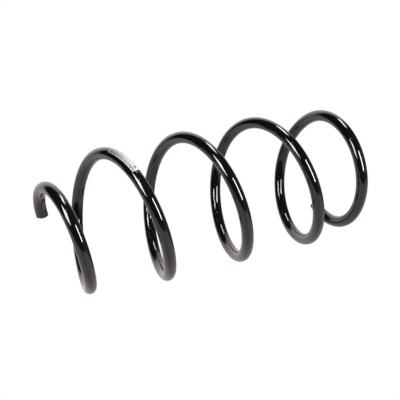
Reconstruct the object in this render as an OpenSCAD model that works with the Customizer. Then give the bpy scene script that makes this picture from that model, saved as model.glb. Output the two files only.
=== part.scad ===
// Suspension coil spring, wound from one round steel bar and powder coated.
// It stands on its seat coil, with the tapered pigtail coil on top.
// The origin is on the axis of the body coils, in the plane the seat coil stands on, and +Z points up.
// The bar is followed from its lower cut end: s counts turns, anticlockwise as seen from above.

/* [Bar] */
// Diameter of the coated bar
bar_d = 12.5; // [8:0.1:16]
// Rounding of the rim at both cut ends
rim_r = 1.2; // [0.4:0.1:2]
// Slope of the sheared face at both cut ends, in degrees
shear_slope = 6; // [0:1:12]

/* [Body coils] */
// Turns from one cut end to the other
turns = 4.798; // [4:0.001:8]
// Radius of the body coils at half height, to the middle of the bar
coil_r = 70; // [55:0.5:100]
// Growth of that radius with each turn down
coil_r_growth = 1.4; // [0:0.1:3]
// Rise of the body coils in one turn
pitch = 88; // [40:1:120]

/* [Seat coil] */
// Turns that lie flat at the bottom
seat_turns = 0.585; // [0.5:0.005:0.9]
// Turns in which the bar lifts from flat to the full pitch
seat_lift_turns = 0.17; // [0.1:0.01:0.5]
// Radius of the seat coil, to the middle of the bar
seat_r = 63; // [50:0.5:90]
// Turns from the lower cut end to where the seat radius starts to open
seat_r_turns = 0.56; // [0.3:0.01:0.9]
// Turns in which the seat radius opens to the body radius
seat_open_turns = 0.54; // [0.3:0.01:0.9]
// Distance of the seat coil's centre from the axis
seat_shift = 13; // [0:0.5:20]
// Compass direction of that distance, in degrees
seat_shift_angle = 303; // [0:1:359]
// Compass direction of the lower cut end, in degrees
lower_end_angle = 163; // [0:1:359]
// Inward tuck of the lower cut end
tuck = 9.5; // [0:0.5:12]
// Turns in which the lower end is tucked in
tuck_turns = 0.2; // [0.1:0.01:0.4]

/* [Pigtail coil] */
// Radius at the upper cut end, to the middle of the bar
pigtail_r = 43.5; // [30:0.5:60]
// Turns in which the pigtail opens to the body radius
pigtail_turns = 1.01; // [0.6:0.01:1.5]
// Turns in which the pitch opens from nothing at the upper cut end
pigtail_lift_turns = 1.76; // [0.8:0.01:2.5]
// Dip of the upper cut end, back towards the coils
dip = 4; // [0:0.5:8]
// Turns in which the upper end dips
dip_turns = 0.18; // [0.1:0.01:0.4]

/* [Label] */
// Turns from the upper cut end to the near edge of the label
label_from_top = 1.238; // [0.5:0.001:3]
// Length of the label along the bar
label_l = 40.5; // [20:0.5:90]
// Width of the label round the bar
label_w = 17; // [8:0.5:26]
// Thickness of the label
label_t = 0.2; // [0.1:0.05:0.6]
// Thickness of the glue under the label
glue_t = 0.1; // [0.05:0.01:0.3]
// Direction that the middle of the label faces: 0 is outwards, 90 is up the coil
label_facing = -36; // [-180:1:180]
// Turn of the label round the bar from its far edge to its near edge, as it is stuck on askew
label_skew = 18; // [-30:1:30]

/* [Hidden] */

bar_r = bar_d / 2;

// Facets: flats round the bar, rings along each turn, and steps in the rounded rim
bar_sides = 20;
rings_per_turn = 52;
rim_steps = 3;
label_sides = 10;
label_rings = 12;

// The pitch fades in the pigtail with this power of the distance to its end
pigtail_lift_power = 3;

// Step for the heading of the bar, in turns
nudge = 0.0005;

// Smooth step from 0 to 1
function share(x) = max(0, min(1, x));
function smooth(x) = share(x) * share(x) * (3 - 2 * share(x));
// Area under the smooth step, from 0 to x
function smooth_area(x) = pow(share(x), 3) - pow(share(x), 4) / 2 + max(0, x - 1);

// What is left of a stretch of turns at the upper end: 1 at the cut end and 0 where the stretch stops
function left_of(s, stretch) = share(1 - (turns - s) / stretch);

// Radius to the middle of the bar: body, then pigtail, then seat coil with its tucked end
function body_radius(s) = coil_r + coil_r_growth * (turns / 2 - s);
function pigtail_radius(s) =
    body_radius(s) + (pigtail_r - body_radius(s)) * smooth(left_of(s, pigtail_turns));
function seat_share(s) = 1 - smooth((s - seat_r_turns) / seat_open_turns);
function tuck_share(s) = pow(share(1 - s / tuck_turns), 2);
function radius(s) =
    pigtail_radius(s) + (seat_r - pigtail_radius(s)) * seat_share(s) - tuck * tuck_share(s);

// Height of the middle of the bar: flat in the seat, then the full pitch, which fades at the pigtail,
// and a dip at its end
function seat_climb(s) = seat_lift_turns * smooth_area((s - seat_turns) / seat_lift_turns);
function pigtail_loss(s) =
    pigtail_lift_turns / (pigtail_lift_power + 1)
    * pow(left_of(s, pigtail_lift_turns), pigtail_lift_power + 1);
function end_dip(s) = dip * pow(left_of(s, dip_turns), 2);
function height(s) = bar_r + pitch * (seat_climb(s) - pigtail_loss(s)) - end_dip(s);

// Middle of the bar at s turns
function compass(s) = lower_end_angle + 360 * s;
function middle(s) = [
    radius(s) * cos(compass(s)) + seat_shift * seat_share(s) * cos(seat_shift_angle),
    radius(s) * sin(compass(s)) + seat_shift * seat_share(s) * sin(seat_shift_angle),
    height(s)
];

// Heading of the bar, and the two directions square to it: outwards and up the coil
function unit(v) = v / norm(v);
function heading(s) = unit(middle(s + nudge) - middle(s - nudge));
function outwards(s) = unit(cross(heading(s), [0, 0, 1]));
function upwards(s) = cross(outwards(s), heading(s));

// Point at radius r and angle a round the bar, moved along the bar by a distance
function round_bar(s, r, a, along = 0) =
    middle(s) + r * cos(a) * outwards(s) + r * sin(a) * upwards(s) + along * heading(s);

// Length of bar in one turn at s
function turn_length(s) = norm(middle(s + nudge) - middle(s - nudge)) / (2 * nudge);

// Rings of points, each a list of the same length, joined into one closed skin.
// The first and last rings are closed by flat caps, and the last point of each ring is joined to its first.
module skin_of(rings) {
    count = len(rings[0]);
    last = len(rings) - 1;
    points = [for (ring = rings) each ring];
    sides = [
        for (i = [0 : last - 1], j = [0 : count - 1])
            let (k = (j + 1) % count, a = i * count, b = a + count)
            each [[a + j, b + j, b + k], [a + j, b + k, a + k]]
    ];
    near_cap = [for (j = [0 : count - 1]) j];
    far_cap = [for (j = [count - 1 : -1 : 0]) last * count + j];
    polyhedron(points, concat(sides, [near_cap, far_cap]), convexity = 12);
}

// Ring of points in a cut end's rounded rim: way is -1 at the lower end and 1 at the upper,
// and g runs from 0 on the sheared face to 90 degrees where the rim meets the bar
function rim_ring(s, way, g, angles) =
    let (r = bar_r - rim_r * (1 - sin(g)))
    [
        for (a = angles)
            round_bar(s, r, a, way * (rim_r * cos(g) + tan(shear_slope) * (bar_r - r * sin(a))))
    ];

// The bar: rounded rims and sloped shear faces at both cut ends, and even rings between
module coil() {
    first = rim_r / turn_length(0);
    last = turns - rim_r / turn_length(turns);
    ring_count = round(turns * rings_per_turn);
    angles = [for (j = [0 : bar_sides - 1]) 360 * j / bar_sides];
    rim_angles = [for (k = [0 : rim_steps - 1]) 90 * k / rim_steps];
    lower_rim = [for (g = rim_angles) rim_ring(first, -1, g, angles)];
    body = [
        for (i = [0 : ring_count])
            let (s = first + (last - first) * i / ring_count)
            [for (a = angles) round_bar(s, bar_r, a)]
    ];
    upper_rim = [for (k = [rim_steps - 1 : -1 : 0]) rim_ring(last, 1, rim_angles[k], angles)];
    color("#17151a") skin_of(concat(lower_rim, body, upper_rim));
}

// The label: a thin curved sheet round the outer side of the bar
module label() {
    start = turns - label_from_top - label_l / turn_length(turns - label_from_top);
    stop = turns - label_from_top;
    inner_r = bar_r + glue_t;
    outer_r = inner_r + label_t;
    wrap = label_w / inner_r * 180 / PI;
    steps = [for (j = [0 : label_sides]) wrap * (j / label_sides - 0.5)];
    back = [for (j = [label_sides : -1 : 0]) steps[j]];
    rings = [
        for (i = [0 : label_rings])
            let (
                s = start + (stop - start) * i / label_rings,
                facing = label_facing + label_skew * (i / label_rings - 0.5)
            )
            concat(
                [for (a = steps) round_bar(s, outer_r, facing + a)],
                [for (a = back) round_bar(s, inner_r, facing + a)]
            )
    ];
    color("#d8d6da") skin_of(rings);
}

coil();
label();
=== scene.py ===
import math

import bpy
import numpy as np
from mathutils import Matrix, Vector


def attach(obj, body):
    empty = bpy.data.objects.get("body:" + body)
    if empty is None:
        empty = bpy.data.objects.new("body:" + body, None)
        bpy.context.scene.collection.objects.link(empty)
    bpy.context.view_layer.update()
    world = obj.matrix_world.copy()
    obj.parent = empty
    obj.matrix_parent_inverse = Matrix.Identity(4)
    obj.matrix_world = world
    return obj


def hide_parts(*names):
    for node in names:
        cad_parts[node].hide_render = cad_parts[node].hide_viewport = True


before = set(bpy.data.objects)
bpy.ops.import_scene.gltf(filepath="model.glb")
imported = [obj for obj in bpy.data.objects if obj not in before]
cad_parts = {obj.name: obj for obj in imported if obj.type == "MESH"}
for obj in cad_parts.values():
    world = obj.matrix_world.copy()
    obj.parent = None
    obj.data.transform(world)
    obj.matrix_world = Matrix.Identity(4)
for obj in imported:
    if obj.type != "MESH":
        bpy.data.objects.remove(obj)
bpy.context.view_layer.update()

# Sizes of the spring, in metres and turns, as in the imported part
BAR_D = 0.0125
RIM_R = 0.0012
SHEAR_SLOPE = math.radians(6)
TURNS = 4.798
COIL_R = 0.070
COIL_R_GROWTH = 0.0014
PITCH = 0.088
SEAT_TURNS = 0.585
SEAT_LIFT_TURNS = 0.17
SEAT_R = 0.063
SEAT_R_TURNS = 0.56
SEAT_OPEN_TURNS = 0.54
SEAT_SHIFT = 0.013
SEAT_SHIFT_ANGLE = math.radians(303)
LOWER_END_ANGLE = math.radians(163)
TUCK = 0.0095
TUCK_TURNS = 0.2
PIGTAIL_R = 0.0435
PIGTAIL_TURNS = 1.01
PIGTAIL_LIFT_TURNS = 1.76
PIGTAIL_LIFT_POWER = 3
DIP = 0.004
DIP_TURNS = 0.18
LABEL_FROM_TOP = 1.238
LABEL_L = 0.0405
LABEL_W = 0.017
LABEL_T = 0.0002
GLUE_T = 0.0001
LABEL_FACING = math.radians(-36)
LABEL_SKEW = math.radians(18)

BAR_R = BAR_D / 2
NUDGE = 0.0005
MM = 0.001

# Grids of the two pieces
BAR_SIDES = 72
BAR_RINGS = 1290
RIM_STEPS = 8
FACE_RINGS = 9
LABEL_RINGS = 88
LABEL_SIDES = 34

# Relief of the sheared faces: a lip where the blade came out, and torn grain
LIP_HEIGHT = 0.0007
LIP_PLACE = -0.0016
LIP_WIDTH = 0.0007
GRAIN_HEIGHT = 0.00012
GRAIN_PITCH = 0.0011
GRAIN_SKEW = 0.3
CROSS_GRAIN_SHARE = 0.6
CROSS_GRAIN_SKEW = 0.2

# The label's rounded corners and its faint ripple
LABEL_CORNER_R = 0.0012
RIPPLE_HEIGHT = 0.000012
RIPPLE_ALONG = 9 * math.pi
RIPPLE_SKEW = 2
RIPPLE_ACROSS = 3.1
RIPPLE_FADE = 8
RIPPLE_AT_EDGE = 0.2
EDGE_RISE = 0.00002
EDGE_RISE_POWER = 8

# Camera, fitted to the photograph: it stands to one side, above, and is turned almost onto its side
CAMERA_PLACE = Vector((0.32393, -0.59383, 0.47328))
CAMERA_AIM = Vector((-0.00040, -0.00022, 0.16561))
CAMERA_ROLL = math.radians(-102.994)
SENSOR = 36.0
LENS = 61.904

# Studio
SPRING_MIDDLE = Vector((0, 0, 0.16839))
FLOOR_SIZE = 6.0
WHITE = (1.0, 1.0, 1.0, 1.0)


def share(x):
    """x held between 0 and 1."""
    return np.clip(x, 0.0, 1.0)


def smooth(x):
    """Smooth step: 3 x squared less 2 x cubed, with x held between 0 and 1."""
    return share(x) ** 2 * (3 - 2 * share(x))


def middle(s):
    """Middle of the bar at s turns from its lower cut end.

    The radius is the body's, which falls by COIL_R_GROWTH a turn, drawn in to the pigtail's at the top
    and to the seat coil's at the bottom, whose centre is SEAT_SHIFT off the axis and whose end is tucked
    in by TUCK. The height is flat in the seat coil, then climbs by PITCH a turn. The climb fades out in
    the pigtail, whose end dips by DIP.
    """
    def left_of(stretch):
        return share(1 - (TURNS - s) / stretch)

    body = COIL_R + COIL_R_GROWTH * (TURNS / 2 - s)
    pigtail = body + (PIGTAIL_R - body) * smooth(left_of(PIGTAIL_TURNS))
    seat = 1 - smooth((s - SEAT_R_TURNS) / SEAT_OPEN_TURNS)
    radius = pigtail + (SEAT_R - pigtail) * seat - TUCK * share(1 - s / TUCK_TURNS) ** 2
    lift = (s - SEAT_TURNS) / SEAT_LIFT_TURNS
    climb = SEAT_LIFT_TURNS * (share(lift) ** 3 - share(lift) ** 4 / 2 + np.maximum(0, lift - 1))
    power = PIGTAIL_LIFT_POWER + 1
    loss = PIGTAIL_LIFT_TURNS / power * left_of(PIGTAIL_LIFT_TURNS) ** power
    compass = LOWER_END_ANGLE + 2 * math.pi * s
    return np.stack([
        radius * np.cos(compass) + SEAT_SHIFT * seat * math.cos(SEAT_SHIFT_ANGLE),
        radius * np.sin(compass) + SEAT_SHIFT * seat * math.sin(SEAT_SHIFT_ANGLE),
        BAR_R + PITCH * (climb - loss) - DIP * left_of(DIP_TURNS) ** 2,
    ], axis=-1)


def unit(v):
    """v at length 1."""
    return v / np.linalg.norm(v, axis=-1, keepdims=True)


def turn_length(s):
    """Length of bar in one turn at s."""
    return float(np.linalg.norm(middle(s + NUDGE) - middle(s - NUDGE))) / (2 * NUDGE)


def round_bar(s, r, a, along=0.0):
    """Points at radius r and angle a round the bar's middle at s, moved along the bar.

    Angle 0 faces outwards from the coil and a quarter turn faces up it. All four may be arrays.
    """
    s = np.asarray(s, float)
    heading = unit(middle(s + NUDGE) - middle(s - NUDGE))
    outwards = unit(np.cross(heading, [0.0, 0.0, 1.0]))
    upwards = np.cross(outwards, heading)
    out = np.asarray(r * np.cos(a))[..., None]
    rise = np.asarray(r * np.sin(a))[..., None]
    across = out * outwards + rise * upwards
    return middle(s) + across + np.asarray(along)[..., None] * heading


def make_mesh(name, points, faces):
    """One smooth mesh object at the origin from its points and faces."""
    mesh = bpy.data.meshes.new(name)
    mesh.from_pydata(points.tolist(), [], faces)
    mesh.shade_smooth()
    mesh.update()
    piece = bpy.data.objects.new(name, mesh)
    bpy.context.scene.collection.objects.link(piece)
    return piece


def grid_faces(rings, count):
    """Four-sided faces between neighbouring rings of count points each, closed round every ring."""
    i, j = np.meshgrid(np.arange(rings - 1), np.arange(count), indexing="ij")
    k = (j + 1) % count
    near = i * count
    far = near + count
    return np.stack([near + j, far + j, far + k, near + k], axis=-1).reshape(-1, 4)


def fan_faces(pole, start, count):
    """Triangles from the point pole to a ring of count points that begins with the point start."""
    j = np.arange(count)
    return np.stack([np.full(count, pole), start + j, start + (j + 1) % count], axis=-1)


def face_relief(r, a):
    """Height of a sheared face over its plane at radius r and angle a.

    A smooth step of LIP_HEIGHT runs across the face at LIP_PLACE, and two crossed waves of GRAIN_HEIGHT
    make the torn grain, which fades in the outer rim.
    """
    x = r * np.cos(a)
    y = r * np.sin(a)
    step = LIP_HEIGHT * smooth((x - LIP_PLACE) / LIP_WIDTH)
    wave = 2 * math.pi / GRAIN_PITCH
    grain = GRAIN_HEIGHT * np.sin(wave * (x + GRAIN_SKEW * y))
    grain = grain * np.cos(CROSS_GRAIN_SHARE * wave * (y - CROSS_GRAIN_SKEW * x))
    return step + grain * smooth((BAR_R - r) / RIM_R)


def make_bar():
    """The bar: even rings along the coil, with a rounded rim and a sloped, torn face at both cut ends.

    The body is a circle of BAR_R carried along middle(s). At each end, rings go round a quarter circle of
    RIM_R and on over the face to a point in its middle. The face slopes by SHEAR_SLOPE and has the height
    of face_relief. The attribute cut_end is 1 on both faces and rims, and 0 elsewhere.
    """
    first = RIM_R / turn_length(0.0)
    last = TURNS - RIM_R / turn_length(TURNS)
    a = np.linspace(0, 2 * math.pi, BAR_SIDES, endpoint=False)
    round_up = np.linspace(0, math.pi / 2, RIM_STEPS, endpoint=False)
    face_r = (BAR_R - RIM_R) * np.linspace(0, 1, FACE_RINGS, endpoint=False)[1:]
    end_r = np.concatenate([face_r, BAR_R - RIM_R * (1 - np.sin(round_up))])
    end_out = np.concatenate([np.full(len(face_r), RIM_R), RIM_R * np.cos(round_up)])

    def end_rings(s, way):
        r, angle = np.meshgrid(end_r, a, indexing="ij")
        slope = math.tan(SHEAR_SLOPE) * (BAR_R - r * np.sin(angle))
        out = end_out[:, None] + slope + face_relief(r, angle)
        return round_bar(np.full(r.shape, s), r, angle, way * out)

    def pole(s, way):
        out = RIM_R + math.tan(SHEAR_SLOPE) * BAR_R + float(face_relief(np.float64(0), np.float64(0)))
        return round_bar(np.array([s]), 0.0, 0.0, np.array([way * out]))

    s, angle = np.meshgrid(np.linspace(first, last, BAR_RINGS), a, indexing="ij")
    body = round_bar(s, BAR_R, angle)
    rings = np.concatenate([end_rings(first, -1), body, end_rings(last, 1)[::-1]])
    count = len(rings) * BAR_SIDES
    start = count - BAR_SIDES
    points = np.concatenate([rings.reshape(-1, 3), pole(first, -1), pole(last, 1)])
    near_fan = fan_faces(count, 0, BAR_SIDES)
    far_fan = fan_faces(count + 1, start, BAR_SIDES)[:, ::-1]
    faces = grid_faces(len(rings), BAR_SIDES).tolist() + near_fan.tolist() + far_fan.tolist()
    piece = make_mesh("coil_bar", points, faces)

    cut = np.zeros(len(points), np.float32)
    end_count = len(end_r) * BAR_SIDES
    cut[:end_count] = 1
    cut[count - end_count:] = 1
    piece.data.attributes.new("cut_end", "FLOAT", "POINT").data.foreach_set("value", cut)
    return piece


def make_label():
    """The label: a thin closed sheet bent round the bar, with rounded corners and a faint ripple.

    Its outline is the rectangle LABEL_L by LABEL_W, with u from 0 to 1 along it and v from -1 to 1 across.
    Near each short edge the width is drawn in along a quarter circle of LABEL_CORNER_R. The ripple is a
    sine wave times a cosine wave. It fades towards the long edges, which rise by EDGE_RISE.
    """
    stop = TURNS - LABEL_FROM_TOP
    start = stop - LABEL_L / turn_length(stop)
    u = (1 - np.cos(np.linspace(0, math.pi, LABEL_RINGS))) / 2
    v = np.linspace(-1, 1, LABEL_SIDES)
    inset = np.maximum(0, LABEL_CORNER_R - LABEL_L * np.minimum(u, 1 - u))
    half = LABEL_W / 2 - (LABEL_CORNER_R - np.sqrt(LABEL_CORNER_R ** 2 - inset ** 2))
    inner_r = BAR_R + GLUE_T
    uu, vv = np.meshgrid(u, v, indexing="ij")
    angle = LABEL_FACING + LABEL_SKEW * (uu - 0.5) + vv * half[:, None] / inner_r
    along = np.sin(RIPPLE_ALONG * uu + RIPPLE_SKEW * vv)
    lift = RIPPLE_HEIGHT * along * np.cos(RIPPLE_ACROSS * vv) + RIPPLE_HEIGHT
    lift = lift * smooth(RIPPLE_FADE * (1 - np.abs(vv)) + RIPPLE_AT_EDGE) + EDGE_RISE * vv ** EDGE_RISE_POWER
    s = start + (stop - start) * uu
    outer = round_bar(s, inner_r + LABEL_T + lift, angle)
    inner = round_bar(s, inner_r, angle)
    rings = np.concatenate([outer, inner[:, ::-1]], axis=1)
    count = rings.shape[1]
    base = (LABEL_RINGS - 1) * count
    j = np.arange(LABEL_SIDES - 1)
    other = count - 1 - j
    near_end = np.stack([j, j + 1, other - 1, other], axis=-1)
    far_end = base + np.stack([j, other, other - 1, j + 1], axis=-1)
    faces = np.concatenate([grid_faces(LABEL_RINGS, count), near_end, far_end])
    piece = make_mesh("label_sheet", rings.reshape(-1, 3), faces.tolist())

    flat_u = np.concatenate([uu, uu], axis=1).reshape(-1)
    flat_v = np.concatenate([vv, vv[:, ::-1]], axis=1).reshape(-1) / 2 + 0.5
    corners = np.zeros(len(piece.data.loops), np.int32)
    piece.data.loops.foreach_get("vertex_index", corners)
    flat = np.stack([flat_u, flat_v], axis=-1)[corners].astype(np.float32)
    piece.data.uv_layers.new(name="label_print").uv.foreach_set("vector", flat.ravel())
    return piece


class Link:
    """A node's output, used in sums: each operator adds one Math node and gives its output."""

    def __init__(self, graph, socket):
        self.graph = graph
        self.socket = socket

    def maths(self, operation, a, b=0.0):
        """One Math node on a and b."""
        return self.graph.node("ShaderNodeMath", {"operation": operation}, {0: a, 1: b})

    def __add__(self, other):
        return self.maths("ADD", self, other)

    def __sub__(self, other):
        return self.maths("SUBTRACT", self, other)

    def __rsub__(self, other):
        return self.maths("SUBTRACT", other, self)

    def __mul__(self, other):
        return self.maths("MULTIPLY", self, other)

    def __truediv__(self, other):
        return self.maths("DIVIDE", self, other)

    def __pow__(self, other):
        return self.maths("POWER", self, other)

    def __gt__(self, other):
        return self.maths("GREATER_THAN", self, other)

    def __abs__(self):
        return self.maths("ABSOLUTE", self)

    __radd__ = __add__
    __rmul__ = __mul__


class Graph:
    """A node tree that is emptied and then filled by node()."""

    def __init__(self, owner):
        owner.use_nodes = True
        self.tree = owner.node_tree
        self.tree.nodes.clear()

    def node(self, kind, settings=None, inputs=None, output=0):
        """Adds one node: its settings first, then values or links for its sockets. Gives one output."""
        made = self.tree.nodes.new(kind)
        for key, value in (settings or {}).items():
            setattr(made, key, value)
        for key, value in (inputs or {}).items():
            if isinstance(value, Link):
                self.tree.links.new(value.socket, made.inputs[key])
            else:
                made.inputs[key].default_value = value
        return Link(self, made.outputs[output]) if made.outputs else None

    def steps(self, value, low, high, start=0.0, end=1.0):
        """Value mapped smoothly from low..high to start..end."""
        return self.node("ShaderNodeMapRange", {"interpolation_type": "SMOOTHSTEP"},
                         {"Value": value, "From Min": low, "From Max": high, "To Min": start, "To Max": end})

    def noise(self, place, scale, detail, roughness):
        """Cloudy noise from 0 to 1, with scale features in each unit of place."""
        return self.node("ShaderNodeTexNoise", {},
                         {"Vector": place, "Scale": scale, "Detail": detail, "Roughness": roughness})

    def larger(self, a, b):
        """The larger of two values."""
        return self.node("ShaderNodeMath", {"operation": "MAXIMUM"}, {0: a, 1: b})

    def mix(self, factor, a, b):
        """Colour a turned into colour b by factor."""
        return self.node("ShaderNodeMix", {"data_type": "RGBA"}, {0: factor, 6: a, 7: b}, 2)

    def dot(self, vector, axis):
        """How far vector reaches along axis."""
        ends = {0: vector, 1: tuple(axis)}
        return self.node("ShaderNodeVectorMath", {"operation": "DOT_PRODUCT"}, ends, 1)

    def bump(self, height):
        """The surface's normal under a relief of height millimetres."""
        return self.node("ShaderNodeBump", {}, {"Strength": 1.0, "Distance": MM, "Height": height})


def powder_coat():
    """Gloss black powder coat: orange peel, long soft waves, dust nibs under the coat and rough cut ends.

    Waves, peel and grit are noise of falling size. A nib is the small round middle of about one Voronoi
    cell in twelve. Scuffs are patches of slow noise, a little paler and duller than the rest. Sizes are
    in features a metre, heights in millimetres.
    """
    black = (0.0068, 0.0058, 0.0068, 1)
    dull = (0.013, 0.012, 0.013, 1)
    sheared = (0.055, 0.052, 0.054, 1)
    coat_ior = 1.5
    coat_rough = 0.03
    scuff_rough = 0.04
    peel_rough = 0.02
    cut_rough = 0.25
    wave_size = 70.0
    peel_size = 420.0
    grit_size = 1800.0
    cell_size = 210.0
    scuff_size = 34.0
    common_cells = 0.92
    wave_height = 0.002
    peel_height = 0.0006
    grit_height = 0.0001
    cut_grit_height = 0.09
    nib_height = 0.02
    material = bpy.data.materials.new("powder_coat")
    graph = Graph(material)
    place = graph.node("ShaderNodeTexCoord", output="Object")
    cut = graph.node("ShaderNodeAttribute", {"attribute_name": "cut_end"}, output="Fac")
    peel = graph.noise(place, peel_size, 2.0, 0.45)
    waves = graph.noise(place, wave_size, 1.0, 0.4)
    grit = graph.noise(place, grit_size, 3.0, 0.6)
    cells = {"Vector": place, "Scale": cell_size, "Randomness": 1.0}
    distance = graph.node("ShaderNodeTexVoronoi", {"feature": "F1"}, cells, "Distance")
    chosen = graph.node("ShaderNodeTexVoronoi", {"feature": "F1"}, cells, "Color")
    rare = graph.node("ShaderNodeSeparateColor", {}, {"Color": chosen}, "Red") > common_cells
    nib = graph.steps(distance, 0.02, 0.09, 1.0, 0.0) * rare
    scuffs = graph.steps(graph.noise(place, scuff_size, 5.0, 0.62), 0.56, 0.74)
    height = peel * peel_height + waves * wave_height + nib * nib_height
    height = height + grit * (grit_height + cut * cut_grit_height)
    rough = coat_rough + scuffs * scuff_rough + peel * peel_rough + cut * cut_rough
    colour = graph.mix(cut * 0.8, graph.mix(scuffs * 0.35, black, dull), sheared)
    shader = graph.node("ShaderNodeBsdfPrincipled", {}, {
        "Base Color": colour, "Roughness": rough, "IOR": coat_ior, "Normal": graph.bump(height)})
    graph.node("ShaderNodeOutputMaterial", {}, {"Surface": shader})
    return material


def label_paper():
    """Coated paper: a grey field, partly print and partly painted shade, that thins out towards one end,
    rows of blank print, a margin, scuffs.

    Along the label u runs from 0 to 1, and across it v from -1 to 1. The field darkens with both, and more
    towards one long edge; this darkening is partly grey print and partly painted shade of the end and side
    that face away from the light. Clouds of noise make it uneven. The margin is paler and darkens only near
    the far end. The print stands in even rows, and noise that changes fast along a row breaks it into
    dashes.
    The row nearest one long edge is the darkest, most of all at its start. The spots are small oblongs with
    soft edges. Sizes are in features a metre, heights in millimetres.
    """
    white = (0.93, 0.905, 0.93, 1)
    grey = (0.26, 0.252, 0.26, 1)
    ink = (0.11, 0.105, 0.11, 1)
    paper_ior = 1.3
    paper_rough = 0.65
    scuff_rough = 0.15
    margin_pale = 0.4
    margin_dark = 0.25
    row_pitch = 0.27
    dark_row = 0.77
    dashes_along = 26.0
    row_change = 7.3
    spot_places = ((0.10, 0.37, 0.95), (0.57, 0.68, 0.4))
    cloud_size = 190.0
    scuff_size = 260.0
    fibre_size = 2600.0
    crease_size = 150.0
    fibre_height = 0.003
    crease_height = 0.012
    material = bpy.data.materials.new("label_paper")
    graph = Graph(material)
    place = graph.node("ShaderNodeTexCoord", output="Object")
    flat = graph.node("ShaderNodeUVMap", {"uv_map": "label_print"})
    u = graph.node("ShaderNodeSeparateXYZ", {}, {0: flat}, 0)
    v = graph.node("ShaderNodeSeparateXYZ", {}, {0: flat}, 1) * 2 - 1

    inside = graph.steps(abs(u - 0.5), 0.452, 0.466, 1.0, 0.0) * graph.steps(abs(v), 0.85, 0.93, 1.0, 0.0)
    margin = 1 - inside
    clouds = graph.noise(place, cloud_size, 3.0, 0.6)
    # Painted shade: the grey field, partly print, darkens towards the end and the long edge that face away
    # from the light
    grey_print_and_painted_shade = graph.steps(u, 0.1, 0.95, 0.06, 0.8) * graph.steps(v, -0.15, 0.65, 0.02, 1.0)
    grey_print_and_painted_shade = grey_print_and_painted_shade + graph.steps(v, 0.35, 0.8, 0.0, 0.3) + (clouds - 0.5) * 0.3
    shaded = grey_print_and_painted_shade * (1 - margin * margin_pale) + margin * graph.steps(u, 0.6, 0.95, 0.0, margin_dark)
    ground = graph.mix(graph.node("ShaderNodeClamp", {}, {"Value": shaded}), white, grey)

    row = v / row_pitch + (0.5 - dark_row / row_pitch)
    row_number = graph.node("ShaderNodeMath", {"operation": "FLOOR"}, {0: row})
    line = graph.steps(abs(row - row_number - 0.5), 0.16, 0.34, 1.0, 0.0)
    words = graph.node("ShaderNodeCombineXYZ", {}, {0: u * dashes_along, 1: row_number * row_change})
    word = graph.steps(graph.noise(words, 1.0, 2.0, 0.7), 0.40, 0.58)
    first = graph.steps(v, dark_row - 0.13, dark_row - 0.09)
    start = graph.steps(u, 0.2, 0.24, 1.0, 0.0)
    strength = 0.05 + word * 0.08 + first * (0.3 + start * 0.35)
    spots = 0.0
    for spot_u, spot_v, depth in spot_places:
        far = graph.steps(abs(u - spot_u), 0.016, 0.038) + graph.steps(abs(v - spot_v), 0.09, 0.18)
        spots = spots + graph.steps(far, 0.0, 1.0, depth, 0.0)
    inked = graph.mix(inside * graph.larger(line * strength, spots), ground, ink)

    scuff = graph.steps(graph.noise(place, scuff_size, 5.0, 0.65), 0.58, 0.72)
    colour = graph.mix(scuff * 0.2, inked, grey)
    fibres = graph.noise(place, fibre_size, 3.0, 0.6)
    crease = graph.noise(place, crease_size, 2.0, 0.5)
    height = fibres * fibre_height + crease * crease_height
    rough = paper_rough + scuff * scuff_rough
    shader = graph.node("ShaderNodeBsdfPrincipled", {}, {
        "Base Color": colour, "Roughness": rough, "IOR": paper_ior, "Normal": graph.bump(height)})
    graph.node("ShaderNodeOutputMaterial", {}, {"Surface": shader})
    return material


def make_camera():
    """The camera at the photograph's place. Gives its directions to the right, up and back.

    Its level right-hand direction is turned about its line of sight by CAMERA_ROLL.
    """
    sight = (CAMERA_AIM - CAMERA_PLACE).normalized()
    level = sight.cross(Vector((0, 0, 1))).normalized()
    above = level.cross(sight)
    right = level * math.cos(CAMERA_ROLL) + above * math.sin(CAMERA_ROLL)
    up = right.cross(sight)
    data = bpy.data.cameras.new("camera")
    data.sensor_width = SENSOR
    data.lens = LENS
    camera = bpy.data.objects.new("camera", data)
    turn = Matrix((right, up, -sight)).transposed().to_4x4()
    camera.matrix_world = Matrix.Translation(CAMERA_PLACE) @ turn
    bpy.context.scene.collection.objects.link(camera)
    bpy.context.scene.camera = camera
    return right, up, -sight


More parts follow.
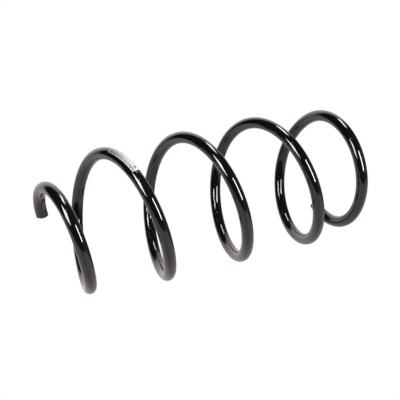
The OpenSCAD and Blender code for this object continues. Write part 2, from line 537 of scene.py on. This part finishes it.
def make_world(right, up, back):
    """The studio: white for the camera, an even light for matt surfaces and, in gloss, the room.

    Directions are taken along the camera's right, up and back: x, y and z. In gloss, the white table has
    a front edge and two side edges, the backdrop that rises behind it ends in two upright edges, and the
    room round them is dark but for a faint light far to the right. A table edge is given by its angle
    below level and its softness. A backdrop edge is given by its angle beyond straight sideways, its lean
    and its softness.

    The pale part is brightest overhead, where it grows with a power of height. It grows a little towards
    the camera, away from it, to the right and down, falls evenly from left to right, and its tint turns
    from plain to warm downwards and away from the camera.
    """
    table_edges = ((0.0, 1.0, 35.8, 0.06), (-1.0, 0.0, 7.2, 0.07), (1.0, 0.0, 11.9, 0.09))
    backdrop_edges = ((-1.0, 25.5, 0.143, 0.12), (1.0, 60.8, -0.224, 0.2))
    side_light = 0.18
    side_light_from = 0.64
    side_light_full = 0.95
    plain_light = 0.5
    pale_level = 0.303
    fall_to_right = 0.685
    overhead_start = 0.2
    overhead_power = 1.48
    overhead_growth = 1.22
    near_growth = 0.41
    away_growth = 0.29
    down_growth = 0.49
    right_growth = 1.08
    right_down_growth = 0.86
    plain_tint = (1.025, 0.985, 1.01, 1)
    warm_tint = (1.08, 0.967, 1.013, 1)
    warmer_down = 0.28
    warmer_away = 0.42

    world = bpy.data.worlds.new("studio")
    bpy.context.scene.world = world
    graph = Graph(world)
    ray = graph.node("ShaderNodeTexCoord", output="Generated")
    x = graph.dot(ray, right)
    y = graph.dot(ray, up)
    z = graph.dot(ray, back)

    table = 1.0
    for aside, near, angle, soft in table_edges:
        angle = math.radians(angle)
        past = y * math.cos(angle) + (x * aside + z * near) * math.sin(angle)
        table = table * graph.steps(past, -soft, soft, 1.0, 0.0)
    backdrop = 1.0
    for aside, angle, lean, soft in backdrop_edges:
        angle = math.radians(angle)
        past = z * math.cos(angle) + x * (aside * math.sin(angle)) + y * lean
        backdrop = backdrop * graph.steps(past, -soft, soft, 1.0, 0.0)
    pale = 1 - (1 - table) * (1 - backdrop)

    to_right = graph.larger(x, 0.0)
    down = graph.larger(y * -1.0, 0.0)
    level = graph.larger(y + overhead_start, 0.0) ** overhead_power * overhead_growth
    level = level + graph.larger(z, 0.0) * near_growth + graph.larger(z * -1.0, 0.0) * away_growth
    level = level + down * down * down_growth
    level = level + to_right * (to_right * right_growth + down * right_down_growth)
    level = level - x * fall_to_right + pale_level
    tint = graph.mix(0.5 - y * warmer_down - z * warmer_away, plain_tint, warm_tint)
    side = graph.steps(x, side_light_from, side_light_full, 0.0, side_light)

    room = graph.node("ShaderNodeBackground", {}, {"Color": WHITE, "Strength": (1 - pale) * side})
    ground = graph.node("ShaderNodeBackground", {}, {"Color": tint, "Strength": pale * level})
    gloss = graph.node("ShaderNodeAddShader", {}, {0: room, 1: ground})
    plain = graph.node("ShaderNodeBackground", {}, {"Color": WHITE, "Strength": plain_light})
    white = graph.node("ShaderNodeBackground", {}, {"Color": WHITE, "Strength": 1.0})
    is_glossy = graph.node("ShaderNodeLightPath", output="Is Glossy Ray")
    is_camera = graph.node("ShaderNodeLightPath", output="Is Camera Ray")
    lit = graph.node("ShaderNodeMixShader", {}, {0: is_glossy, 1: plain, 2: gloss})
    seen = graph.node("ShaderNodeMixShader", {}, {0: is_camera, 1: lit, 2: white})
    graph.node("ShaderNodeOutputWorld", {}, {"Surface": seen})


def make_floor():
    """A plain white floor at the seat plane. Most of its white is its own, so the shadow stays faint."""
    own_share = 0.93
    own_light = 1.045
    half = FLOOR_SIZE / 2
    corners = np.array([(-half, -half, 0), (half, -half, 0), (half, half, 0), (-half, half, 0)], float)
    floor = make_mesh("floor", corners, [(0, 1, 2, 3)])
    floor.visible_glossy = False
    floor.visible_shadow = False
    material = bpy.data.materials.new("floor_white")
    graph = Graph(material)
    matt = graph.node("ShaderNodeBsdfDiffuse", {}, {"Color": WHITE})
    own = graph.node("ShaderNodeEmission", {}, {"Color": WHITE, "Strength": own_light})
    is_camera = graph.node("ShaderNodeLightPath", output="Is Camera Ray")
    both = graph.node("ShaderNodeMixShader", {}, {0: is_camera * own_share, 1: matt, 2: own})
    graph.node("ShaderNodeOutputMaterial", {}, {"Surface": both})
    floor.data.materials.append(material)


def make_lamp(name, axes, azimuth, elevation, distance, half_angles, roll, light, gloss=True):
    """An oblong soft box that faces the middle of the spring, for gloss alone or for matt surfaces alone.

    Its place is given by azimuth and elevation in the camera's axes and a distance, its half sizes by the
    angles that they fill from there, and its roll about that line, all in degrees and metres. The light is
    the level of its face.
    """
    right, up, back = axes
    azimuth = math.radians(azimuth)
    elevation = math.radians(elevation)
    roll = math.radians(roll)
    level_back = right * math.sin(azimuth) + back * math.cos(azimuth)
    ahead = level_back * math.cos(elevation) + up * math.sin(elevation)
    level = right * math.cos(azimuth) - back * math.sin(azimuth)
    across = level * math.cos(roll) + ahead.cross(level) * math.sin(roll)
    width, height = (2 * distance * math.tan(math.radians(angle)) for angle in half_angles)
    data = bpy.data.lights.new(name, "AREA")
    data.shape = "RECTANGLE"
    data.size = width
    data.size_y = height
    data.energy = math.pi * width * height * light
    lamp = bpy.data.objects.new(name, data)
    turn = Matrix((across, ahead.cross(across), ahead)).transposed().to_4x4()
    lamp.matrix_world = Matrix.Translation(SPRING_MIDDLE + ahead * distance) @ turn
    lamp.visible_camera = False
    lamp.visible_glossy = gloss
    lamp.visible_diffuse = not gloss
    bpy.context.scene.collection.objects.link(lamp)


def dress(piece, node, material):
    """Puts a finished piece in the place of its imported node."""
    piece.data.materials.append(material)
    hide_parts(node)
    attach(piece, "root")


bpy.context.scene.view_settings.view_transform = "Standard"
camera_axes = make_camera()
dress(make_bar(), "coil", powder_coat())
dress(make_label(), "label", label_paper())
make_world(*camera_axes)
make_floor()
make_lamp("left_box", camera_axes, azimuth=-37.3, elevation=13.3, distance=0.64,
          half_angles=(9.9, 13.7), roll=-12.0, light=23.0)
make_lamp("right_box", camera_axes, azimuth=40.4, elevation=10.0, distance=0.73,
          half_angles=(5.5, 16.1), roll=26.0, light=42.0)
make_lamp("top_box", camera_axes, azimuth=32.2, elevation=80.7, distance=2.1,
          half_angles=(6.9, 11.2), roll=-23.2, light=24.0)
make_lamp("spot_lamp", camera_axes, azimuth=-12.0, elevation=40.0, distance=1.5,
          half_angles=(0.8, 0.8), roll=0.0, light=45.0)
make_lamp("key_lamp", camera_axes, azimuth=25.6, elevation=36.5, distance=2.4,
          half_angles=(12.0, 12.0), roll=0.0, light=9.5, gloss=False)
